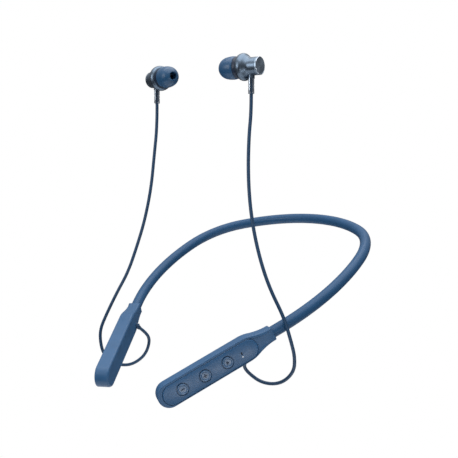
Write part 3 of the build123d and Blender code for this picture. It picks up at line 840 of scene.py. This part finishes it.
def make_grommet(side):
    """The cable's soft outlet: a flange on the pod and a ribbed cone."""
    way_out = (pod_placing.to_3x3() @ Vector((0, -1, -1))).normalized()
    tip = Vector(CABLE_ROUTE["left"][0])
    corners = [(-GROMMET_LENGTH, 0, 0), (-GROMMET_LENGTH, 1.55, 0), (-2.2, 1.55, 0), (-2.2, 1.9, 0.1),
               (-1.55, 1.9, 0.2), (-1.5, 1.42, 0.1), (-1.15, 1.38, 0), (-1.1, 1.2, 0.05), (-0.9, 1.2, 0.05),
               (-0.85, 1.33, 0), (-0.55, 1.28, 0), (-0.5, 1.12, 0.05), (-0.32, 1.12, 0.05), (-0.27, 1.25, 0),
               (0, 1.2, 0.1), (0, 0, 0)]
    mesh = lathe(rounded(corners, step=20), segments=48)
    placing = frame_matrix(tip, way_out, way_out.orthogonal())
    piece = mesh.make(f"{side}_grommet", placing, side == "right", sharp=40)
    dress(piece, cable_blue, f"{side}_arm", "cable_rubber", f"{side}_cable_grommet")


for side in SIDES:
    make_housing(side)
    make_panel(side)
    make_grommet(side)
for name in BUTTON_X:
    make_button(name)
make_lamp_and_microphone()


# ---------------------------------------------------------------- ear buds
nozzle_heading = turned(Vector((-1, 0, 0)), Vector((0, 0, 1)), BUD_TOE)
bud_placing = frame_matrix(BUD_CENTRE, nozzle_heading, nozzle_heading.cross(Vector((0, 0, 1))))


def bud_piece(side, stem, mesh, material, slot_name, *nodes, body=None, sharp=32):
    piece = mesh.make(f"{side}_{stem}", bud_placing, side == "right", sharp=sharp)
    return dress(piece, material, body or f"{side}_arm", slot_name, *[f"{side}_{n}" for n in nodes])


def make_bud(side):
    """A metal shell with a full round flange, a spun rear cap, a nozzle and a soft tip."""
    flare = smooth([(-4.5, 4.85), (-2.0, 4.85), (0, 4.88), (1.0, 5.2), (1.9, 5.95), (2.7, 6.75), (3.5, 7.24),
                    (4.4, 7.4), (5.4, 7.28), (6.2, 6.95)])
    front = rounded([(6.2, 6.95, 0), (6.85, 6.4, 0.25), (6.95, 5.85, 0.1), (8.8, 5.85, 0.15), (8.8, 2.6, 0),
                     (8.0, 2.6, 0), (8.0, 3.9, 0), (-4.6, 3.9, 0), (-4.6, 4.75, 0), (-4.5, 4.85, 0)], step=20)
    shell = lathe([*flare, *front[1:-1]], closed=True, segments=BUD_SEGMENTS)
    bud_piece(side, "bud_shell", shell, bud_metal, "bud_metal", "bud_housing", sharp=50)

    # A dark ring where the tip's rear edge meets the flange: painted shade in that gap.
    band = lathe(rounded([(6.92, 5.8, 0), (6.92, 5.98, 0.05), (8.85, 5.98, 0.05), (8.85, 5.8, 0)],
                         closed=True, step=30), closed=True, segments=BUD_SEGMENTS)
    bud_piece(side, "painted_shade_ring", band, painted_shade_blue, "bud_metal", sharp=50)

    # The rear cap, with its bright cut edge as a ring of its own
    cap = lathe(rounded([(-3.5, 0, 0), (-3.5, 3.88, 0), (-4.55, 3.88, 0), (-4.55, 4.85, 0.05),
                         (-5.42, 4.85, 0), (-5.52, 4.78, 0), (-5.6, 4.66, 0.03), (-5.6, 4.46, 0.05),
                         (-5.5, 4.36, 0.1), (-5.48, 0, 0)], step=20), segments=BUD_SEGMENTS)
    bud_piece(side, "rear_cap", cap, cap_metal, "cap_metal", "bud_cap", sharp=24)
    edge = lathe(rounded([(-5.40, 4.80, 0), (-5.43, 4.875, 0.02), (-5.63, 4.68, 0.02), (-5.58, 4.60, 0)],
                         closed=True, step=30), closed=True, segments=BUD_SEGMENTS)
    bud_piece(side, "cap_ring", edge, rim_metal, "cap_metal", sharp=50)

    nozzle = lathe(rounded([(7.9, 1.8, 0), (7.9, 2.6, 0), (8.75, 2.6, 0), (13.2, 2.6, 0.1), (13.8, 2.6, 0.2),
                            (14.2, 2.3, 0.1), (14.2, 1.8, 0)], closed=True, step=20), closed=True)
    bud_piece(side, "nozzle_tube", nozzle, bud_metal, "bud_metal", "bud_nozzle")
    gauze = lathe([*smooth([(13.55, 0), (13.52, 0.9), (13.45, 1.79)]),
                   Vector((13.35, 1.79)), Vector((13.35, 0))])
    bud_piece(side, "nozzle_gauze", gauze, woven_steel, "mesh_steel", "nozzle_mesh")

    dome = smooth([(8.95, 5.55), (9.25, 5.95), (10.1, 6.2), (11.6, 6.24), (13.2, 6.12), (14.8, 5.86),
                   (16.2, 5.42), (17.4, 4.75), (18.3, 3.92), (18.9, 3.15), (19.15, 2.62)])
    mouth = rounded([(19.15, 2.62, 0), (19.2, 2.42, 0.1), (18.9, 2.2, 0.2), (14.5, 2.15, 0), (14.4, 2.65, 0),
                     (9.1, 2.65, 0), (9.1, 3.6, 0.2), (14.0, 3.7, 0.8), (12.5, 5.35, 1.0), (8.95, 5.3, 0.1),
                     (8.95, 5.55, 0)], step=20)
    soft = lathe([*dome, *mouth[1:-1]], closed=True, segments=BUD_SEGMENTS)
    bud_piece(side, "soft_tip", soft, tip_blue, "tip_silicone", "ear_tip", body=f"{side}_tip", sharp=60)


def prong(mesh, centre_angle):
    """One of the four prongs of the stem, with two fine grooves across it."""
    half_width = math.radians(20)
    foot, head = -STEM_LENGTH, -4.0
    heights = [foot, foot + 0.12]
    for groove in PRONG_GROOVES:
        heights += [groove - 0.3, groove - 0.16, groove + 0.16, groove + 0.3]
    heights += [-6.4, head]
    groove_depth = {round(g + d, 3) for g in PRONG_GROOVES for d in (-0.16, 0.16)}
    rings = []
    for height in heights:
        outer = STEM_RADIUS - (0.22 if round(height, 3) in groove_depth else 0)
        outer -= 0.1 if height == foot else 0
        corner = 0.12
        arc_angles = [centre_angle + half_width * k / 4 for k in range(-4, 5)]
        section = [(outer - corner * (abs(k) == 4), a) for k, a in zip(range(-4, 5), arc_angles)]
        section += [(STEM_BORE, a) for a in reversed(arc_angles)]
        rings.append(mesh.ring([(r * math.cos(a), height, r * math.sin(a)) for r, a in section]))
    for lower, upper in zip(rings, rings[1:]):
        mesh.join(lower, upper)
    mesh.cap(rings[0])
    mesh.cap(rings[-1])


def make_stem(side):
    """The metal stem: a collar under the shell with four prongs round a glossy strain relief."""
    upright_turn = Matrix(((0, -1, 0), (1, 0, 0), (0, 0, 1)))
    mesh = Mesh()
    for k in range(4):
        prong(mesh, math.radians(STEM_WINDOW_TURN + 45 + 90 * k))
    bud_piece(side, "stem_prongs", mesh, prong_metal, "bud_metal", "bud_stem", sharp=40)
    collar = lathe(rounded([(-6.5, 1.14, 0), (-6.5, 1.87, 0.1), (-3.9, 1.87, 0), (-3.9, 1.14, 0)],
                           closed=True, step=30), closed=True, segments=48)
    collar.points = [upright_turn @ p for p in collar.points]
    bud_piece(side, "stem_collar", collar, bud_metal, "bud_metal", sharp=40)

    relief = lathe(rounded([(-STEM_LENGTH, 0, 0), (-STEM_LENGTH, 0.98, 0),
                            (-STEM_LENGTH + 0.5, RELIEF_RADIUS, 0.3), (-4.2, RELIEF_RADIUS, 0),
                            (-4.2, 0, 0)], step=20), segments=40)
    relief.points = [upright_turn @ p for p in relief.points]
    bud_piece(side, "stem_relief", relief, relief_blue, "cable_rubber", "strain_relief")


for side in SIDES:
    make_bud(side)
    make_stem(side)


# ---------------------------------------------------------------- carried-over CAD nodes
CARRIED = {
    solder_mask: ["left_circuit_board", "protection_board"],
    stamped_steel: ["switch_minus", "switch_plus", "switch_play", "microphone", "charging_socket"],
    foil_wrap: ["battery"],
    foam_grey: ["battery_pad"],
    tip_blue: ["socket_cover"],
    driver_black: ["left_bud_driver", "right_bud_driver"],
    nickel: ["left_bud_magnet", "right_bud_magnet"],
}
for material, names in CARRIED.items():
    for name in names:
        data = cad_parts[name].data
        data.materials.clear()
        data.materials.append(material)


# ---------------------------------------------------------------- floor and light
def make_stage():
    """A small pale floor, well below the object."""
    shader = Shader("studio_white", (0.93, 0.93, 0.93), 0.85)
    shader.mottle(3, 0.004)
    low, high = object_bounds()
    floor_height = low.z - FLOOR_DROP
    mesh = bpy.data.meshes.new("floor")
    size = FLOOR_HALF_SIZE
    middle = (low.y + high.y) / 2
    corners = ((-1, -1), (1, -1), (1, 1), (-1, 1))
    mesh.from_pydata([(x * size, middle + y * size, floor_height) for x, y in corners], [], [(0, 1, 2, 3)])
    floor = bpy.data.objects.new("floor", mesh)
    floor.data.materials.append(shader.material)
    bpy.context.scene.collection.objects.link(floor)


def area_light(name, place, target, size, power):
    data = bpy.data.lights.new(name, "AREA")
    data.shape = "RECTANGLE"
    data.size, data.size_y = size
    data.energy = power
    light = bpy.data.objects.new(name, data)
    light.location = place
    light.rotation_mode = "QUATERNION"
    light.rotation_quaternion = (Vector(place) - Vector(target)).to_track_quat("Z", "Y")
    bpy.context.scene.collection.objects.link(light)


def make_light():
    """A studio that is bright overhead and dim at the sides, in front of a white backdrop."""
    world = bpy.data.worlds.new("studio")
    bpy.context.scene.world = world
    world.use_nodes = True
    nodes, links = world.node_tree.nodes, world.node_tree.links
    sky = nodes["Background"]
    place = nodes.new("ShaderNodeTexCoord")
    parts = nodes.new("ShaderNodeSeparateXYZ")
    height = nodes.new("ShaderNodeMapRange")
    height.inputs["From Min"].default_value = -1
    shade = nodes.new("ShaderNodeValToRGB")
    links.new(place.outputs["Generated"], parts.inputs["Vector"])
    links.new(parts.outputs["Z"], height.inputs["Value"])
    links.new(height.outputs["Result"], shade.inputs["Fac"])
    ends = shade.color_ramp.elements
    ends[0].position, ends[0].color = 0.5, (SIDE_GLOW, SIDE_GLOW, SIDE_GLOW * 1.05, 1)
    ends[1].position, ends[1].color = 0.95, (1, 1, 1, 1)
    links.new(shade.outputs["Color"], sky.inputs["Color"])
    sky.inputs["Strength"].default_value = SKY_STRENGTH
    backdrop = nodes.new("ShaderNodeBackground")
    backdrop.inputs["Color"].default_value = (1, 1, 1, 1)
    eye = nodes.new("ShaderNodeLightPath")
    choice = nodes.new("ShaderNodeMixShader")
    links.new(eye.outputs["Is Camera Ray"], choice.inputs["Fac"])
    links.new(sky.outputs["Background"], choice.inputs[1])
    links.new(backdrop.outputs["Background"], choice.inputs[2])
    links.new(choice.outputs["Shader"], nodes["World Output"].inputs["Surface"])
    for name, settings in LIGHTS.items():
        area_light(name, *settings)
    bpy.context.scene.view_settings.view_transform = "Standard"


make_stage()
make_light()
